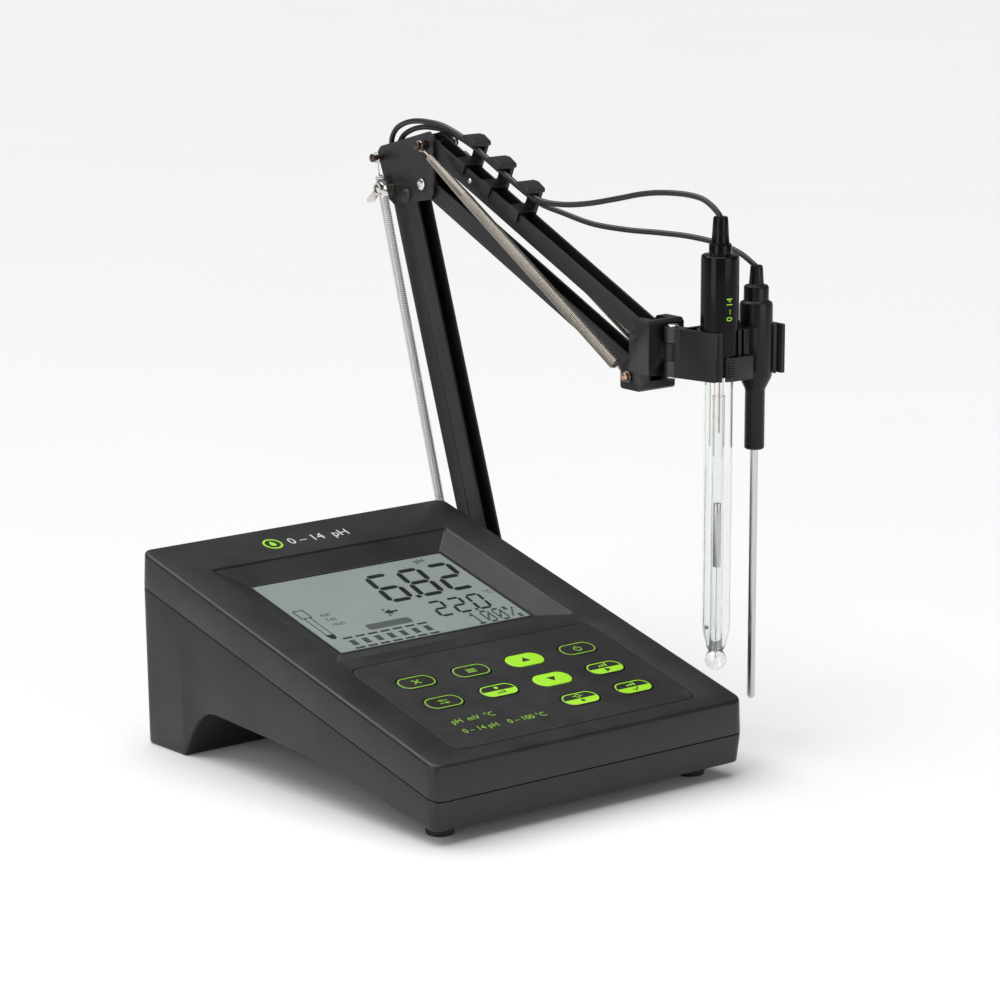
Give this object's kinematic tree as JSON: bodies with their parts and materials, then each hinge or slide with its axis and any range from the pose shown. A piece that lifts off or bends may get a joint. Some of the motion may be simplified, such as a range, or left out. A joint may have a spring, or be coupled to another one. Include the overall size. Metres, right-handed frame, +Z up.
{
  "type": "bench ph meter",
  "caption": "Wedge-shaped bench pH meter with keypad and display, and a sprung two-part arm at its side that holds a pH electrode and a temperature probe.",
  "frame": {"origin": "middle of the bottom of the box around everything but the two leads and their plugs, on the surface the meter stands on", "axes": "+Z up, -Y towards the user in front of the keys, +X to the user's right, where the electrode arm stands"},
  "size_m": [0.247, 0.3017, 0.2828],
  "materials": {
    "case": "fine matt texture",
    "window": "gloss",
    "lcd": "satin",
    "overlay": "fine matt film",
    "key_green": "satin film",
    "key_dark": "satin film",
    "rubber": "matt",
    "board": "satin",
    "nickel": "polished",
    "steel": "brushed",
    "zinc": "satin",
    "painted": "satin powder coat",
    "holder": "fine matt texture",
    "probe_body": "gloss",
    "glass": "gloss",
    "lead": "satin"
  },
  "bodies": {
    "meter": {"lower_case": "case", "upper_case": "case", "display_window": "window", "lcd_panel": "lcd", "keypad_overlay": "overlay", "switch_sheet": "rubber", "main_board": "board", "foot_front_left": "rubber", "foot_front_right": "rubber", "bnc_socket": "nickel", "temperature_socket": "nickel", "power_jack": "holder", "ph_plug": "nickel", "temperature_plug": "probe_body", "base_plate": "zinc", "base_plate_screw": "steel", "ph_lead_rear": "lead", "temperature_lead_rear": "lead", "lead_coil": "lead"},
    "turning_base": {"arm_base": "holder", "base_rear_pin": "steel"},
    "lower_rear_link": {"lower_rear_bar": "painted", "lower_spring_left": "steel", "lower_spring_right": "steel", "ph_lead": "lead", "temperature_lead": "lead"},
    "lower_front_link": {"lower_front_bar": "painted"},
    "elbow": {"elbow_bracket": "painted", "elbow_bolt": "steel", "spring_axle": "steel", "upper_spring_pin": "steel", "elbow_lower_pin": "steel"},
    "left_nut": {"wing_nut_left": "nickel"},
    "right_nut": {"wing_nut_right": "nickel"},
    "upper_top_link": {"upper_top_bar": "painted", "upper_spring_left": "steel", "upper_spring_right": "steel", "lead_clip_1": "holder", "lead_clip_2": "holder", "lead_clip_3": "holder"},
    "upper_bottom_link": {"upper_bottom_bar": "painted"},
    "head": {"head_block": "holder", "head_top_pin": "steel", "head_spring_pin": "steel"},
    "holder": {"electrode_holder": "holder", "holder_pin": "steel"},
    "ph_electrode": {"ph_cap": "probe_body", "ph_tube": "glass"},
    "temperature_probe": {"temperature_grip": "probe_body", "temperature_rod": "steel"},
    "key_escape": {"key_escape": "key_dark"},
    "key_memory_recall": {"key_memory_recall": "key_dark"},
    "key_up": {"key_up": "key_green"},
    "key_power": {"key_power": "key_dark"},
    "key_setup": {"key_setup": "key_dark"},
    "key_log_clear": {"key_log_clear": "key_green"},
    "key_down": {"key_down": "key_green"},
    "key_range": {"key_range": "key_green"},
    "key_calibrate": {"key_calibrate": "key_green"},
    "key_accept": {"key_accept": "key_green"}
  },
  "joints": [
    {"name": "press_escape", "type": "slide", "parent": "meter", "child": "key_escape", "axis": [0, 0.2472, -0.969], "range_m": [0, 0.0006], "stiffness_N_per_m": 400},
    {"name": "press_memory_recall", "type": "slide", "parent": "meter", "child": "key_memory_recall", "axis": [0, 0.2472, -0.969], "range_m": [0, 0.0006], "stiffness_N_per_m": 400},
    {"name": "press_up", "type": "slide", "parent": "meter", "child": "key_up", "axis": [0, 0.2472, -0.969], "range_m": [0, 0.0006], "stiffness_N_per_m": 400},
    {"name": "press_power", "type": "slide", "parent": "meter", "child": "key_power", "axis": [0, 0.2472, -0.969], "range_m": [0, 0.0006], "stiffness_N_per_m": 400},
    {"name": "press_setup", "type": "slide", "parent": "meter", "child": "key_setup", "axis": [0, 0.2472, -0.969], "range_m": [0, 0.0006], "stiffness_N_per_m": 400},
    {"name": "press_log_clear", "type": "slide", "parent": "meter", "child": "key_log_clear", "axis": [0, 0.2472, -0.969], "range_m": [0, 0.0006], "stiffness_N_per_m": 400},
    {"name": "press_down", "type": "slide", "parent": "meter", "child": "key_down", "axis": [0, 0.2472, -0.969], "range_m": [0, 0.0006], "stiffness_N_per_m": 400},
    {"name": "press_range", "type": "slide", "parent": "meter", "child": "key_range", "axis": [0, 0.2472, -0.969], "range_m": [0, 0.0006], "stiffness_N_per_m": 400},
    {"name": "press_calibrate", "type": "slide", "parent": "meter", "child": "key_calibrate", "axis": [0, 0.2472, -0.969], "range_m": [0, 0.0006], "stiffness_N_per_m": 400},
    {"name": "press_accept", "type": "slide", "parent": "meter", "child": "key_accept", "axis": [0, 0.2472, -0.969], "range_m": [0, 0.0006], "stiffness_N_per_m": 400},
    {"name": "arm_swivel", "type": "hinge", "parent": "meter", "child": "turning_base", "pos_m": [0.07695, 0.0844, 0.01], "axis": [0, 0, 1], "range_deg": [-3, 90]},
    {"name": "lower_arm_tilt", "type": "hinge", "parent": "turning_base", "child": "lower_rear_link", "pos_m": [0.07695, 0.0627, 0.04], "axis": [1, 0, 0], "range_deg": [0, 45], "deforming": ["lower_spring_left", "lower_spring_right", "ph_lead", "temperature_lead"]},
    {"name": "lower_front_tilt", "type": "hinge", "parent": "turning_base", "child": "lower_front_link", "pos_m": [0.07695, 0.0514, 0.037], "axis": [1, 0, 0], "range_deg": [0, 45]},
    {"name": "elbow_level", "type": "hinge", "parent": "lower_rear_link", "child": "elbow", "pos_m": [0.07695, 0.13234, 0.24647], "axis": [1, 0, 0], "range_deg": [-45, 0]},
    {"name": "turn_left_nut", "type": "hinge", "parent": "elbow", "child": "left_nut", "pos_m": [0.06195, 0.13234, 0.24647], "axis": [1, 0, 0], "continuous": true},
    {"name": "turn_right_nut", "type": "hinge", "parent": "elbow", "child": "right_nut", "pos_m": [0.09195, 0.13234, 0.24647], "axis": [1, 0, 0], "continuous": true},
    {"name": "upper_arm_lift", "type": "hinge", "parent": "elbow", "child": "upper_top_link", "pos_m": [0.07695, 0.1054, 0.2706], "axis": [-1, 0, 0], "range_deg": [-4, 50], "deforming": ["upper_spring_left", "upper_spring_right"]},
    {"name": "upper_bottom_lift", "type": "hinge", "parent": "elbow", "child": "upper_bottom_link", "pos_m": [0.07695, 0.1089, 0.2504], "axis": [-1, 0, 0], "range_deg": [-4, 50]},
    {"name": "head_level", "type": "hinge", "parent": "upper_top_link", "child": "head", "pos_m": [0.07695, -0.05915, 0.19665], "axis": [-1, 0, 0], "range_deg": [-50, 4]},
    {"name": "holder_swivel", "type": "hinge", "parent": "head", "child": "holder", "pos_m": [0.07695, -0.0744, 0.19], "axis": [0, 0, 1], "range_deg": [-30, 40]},
    {"name": "lift_ph_electrode", "type": "slide", "parent": "holder", "child": "ph_electrode", "axis": [0, 0, 1], "range_m": [0, 0.06]},
    {"name": "lift_temperature_probe", "type": "slide", "parent": "holder", "child": "temperature_probe", "axis": [0, 0, 1], "range_m": [0, 0.06]}
  ],
  "couplings": [
    {"joint": "lower_front_tilt", "follows": "lower_arm_tilt", "ratio": 1},
    {"joint": "elbow_level", "follows": "lower_arm_tilt", "ratio": -1},
    {"joint": "upper_bottom_lift", "follows": "upper_arm_lift", "ratio": 1},
    {"joint": "head_level", "follows": "upper_arm_lift", "ratio": -1}
  ]
}
